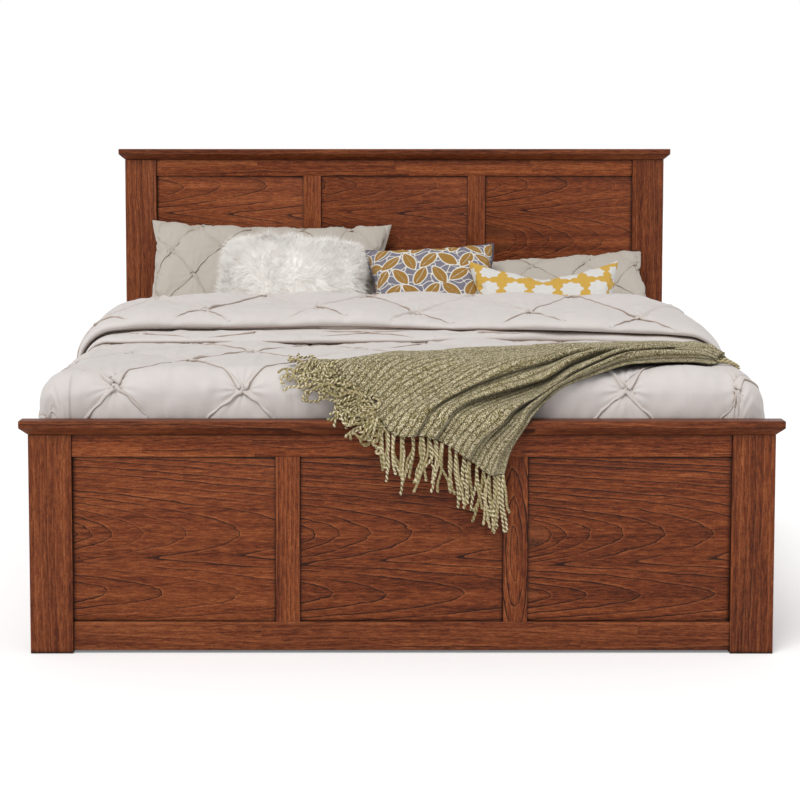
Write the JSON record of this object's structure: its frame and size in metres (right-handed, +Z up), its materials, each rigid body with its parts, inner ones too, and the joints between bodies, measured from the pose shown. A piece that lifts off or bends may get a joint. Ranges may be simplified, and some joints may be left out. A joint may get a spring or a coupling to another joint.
{
  "type": "storage bed",
  "caption": "King-size wooden storage bed with panelled head and foot boards, bevelled caps, side drawers on telescopic slides, mattress, tufted duvet, pillows and a fringed throw.",
  "frame": {"origin": "on the floor under the middle of the overall width and length", "axes": "+X to the right seen from the foot, +Y from the foot board to the head board, +Z up"},
  "size_m": [2.094, 2.1825, 1.395],
  "materials": {
    "red_brown_wood": "satin",
    "pale_wood": "matte",
    "zinc_steel": "satin",
    "dark_bronze": "satin",
    "mattress_ticking": "matte",
    "duvet_cotton": "matte",
    "white_fur": "matte",
    "scroll_print": "matte",
    "lattice_print": "matte",
    "throw_knit": "matte"
  },
  "bodies": {
    "bed": {"case_backs": "pale_wood", "case_partitions": "pale_wood", "case_stiles": "red_brown_wood", "centre_beam": "pale_wood", "centre_legs": "pale_wood", "duvet": "duvet_cotton", "footboard_bottom_rail": "red_brown_wood", "footboard_cap": "red_brown_wood", "footboard_moulding": "red_brown_wood", "footboard_panels": "red_brown_wood", "footboard_post_left": "red_brown_wood", "footboard_post_right": "red_brown_wood", "footboard_stiles": "red_brown_wood", "footboard_top_rail": "red_brown_wood", "fur_pillow": "white_fur", "headboard_bottom_rail": "red_brown_wood", "headboard_cap": "red_brown_wood", "headboard_moulding": "red_brown_wood", "headboard_panels": "red_brown_wood", "headboard_post_left": "red_brown_wood", "headboard_post_right": "red_brown_wood", "headboard_stiles": "red_brown_wood", "headboard_top_rail": "red_brown_wood", "lattice_pillow": "lattice_print", "mattress": "mattress_ticking", "plinths": "red_brown_wood", "rail_brackets": "zinc_steel", "scroll_pillow": "scroll_print", "sham_left": "duvet_cotton", "sham_right": "duvet_cotton", "side_rail_left": "red_brown_wood", "side_rail_right": "red_brown_wood", "slat_cleats": "pale_wood", "slats": "pale_wood", "slide_outer_members": "zinc_steel", "throw": "throw_knit"},
    "drawer_left_foot": {"drawer_left_foot_bottom": "pale_wood", "drawer_left_foot_box": "pale_wood", "drawer_left_foot_front": "red_brown_wood", "drawer_left_foot_knobs": "dark_bronze", "drawer_left_foot_slide_inner": "zinc_steel"},
    "drawer_left_head": {"drawer_left_head_bottom": "pale_wood", "drawer_left_head_box": "pale_wood", "drawer_left_head_front": "red_brown_wood", "drawer_left_head_knobs": "dark_bronze", "drawer_left_head_slide_inner": "zinc_steel"},
    "drawer_right_foot": {"drawer_right_foot_bottom": "pale_wood", "drawer_right_foot_box": "pale_wood", "drawer_right_foot_front": "red_brown_wood", "drawer_right_foot_knobs": "dark_bronze", "drawer_right_foot_slide_inner": "zinc_steel"},
    "drawer_right_head": {"drawer_right_head_bottom": "pale_wood", "drawer_right_head_box": "pale_wood", "drawer_right_head_front": "red_brown_wood", "drawer_right_head_knobs": "dark_bronze", "drawer_right_head_slide_inner": "zinc_steel"},
    "drawer_left_foot_runner": {"drawer_left_foot_slide_middle": "zinc_steel"},
    "drawer_left_head_runner": {"drawer_left_head_slide_middle": "zinc_steel"},
    "drawer_right_foot_runner": {"drawer_right_foot_slide_middle": "zinc_steel"},
    "drawer_right_head_runner": {"drawer_right_head_slide_middle": "zinc_steel"}
  },
  "joints": [
    {"name": "drawer_left_foot_slide", "type": "slide", "parent": "bed", "child": "drawer_left_foot", "axis": [-1, 0, 0], "range_m": [0, 0.45]},
    {"name": "drawer_left_foot_runner_slide", "type": "slide", "parent": "bed", "child": "drawer_left_foot_runner", "axis": [-1, 0, 0], "range_m": [0, 0.225]},
    {"name": "drawer_left_head_slide", "type": "slide", "parent": "bed", "child": "drawer_left_head", "axis": [-1, 0, 0], "range_m": [0, 0.45]},
    {"name": "drawer_left_head_runner_slide", "type": "slide", "parent": "bed", "child": "drawer_left_head_runner", "axis": [-1, 0, 0], "range_m": [0, 0.225]},
    {"name": "drawer_right_foot_slide", "type": "slide", "parent": "bed", "child": "drawer_right_foot", "axis": [1, 0, 0], "range_m": [0, 0.45]},
    {"name": "drawer_right_foot_runner_slide", "type": "slide", "parent": "bed", "child": "drawer_right_foot_runner", "axis": [1, 0, 0], "range_m": [0, 0.225]},
    {"name": "drawer_right_head_slide", "type": "slide", "parent": "bed", "child": "drawer_right_head", "axis": [1, 0, 0], "range_m": [0, 0.45]},
    {"name": "drawer_right_head_runner_slide", "type": "slide", "parent": "bed", "child": "drawer_right_head_runner", "axis": [1, 0, 0], "range_m": [0, 0.225]}
  ],
  "couplings": [
    {"joint": "drawer_left_foot_runner_slide", "follows": "drawer_left_foot_slide", "ratio": 0.5},
    {"joint": "drawer_left_head_runner_slide", "follows": "drawer_left_head_slide", "ratio": 0.5},
    {"joint": "drawer_right_foot_runner_slide", "follows": "drawer_right_foot_slide", "ratio": 0.5},
    {"joint": "drawer_right_head_runner_slide", "follows": "drawer_right_head_slide", "ratio": 0.5}
  ]
}
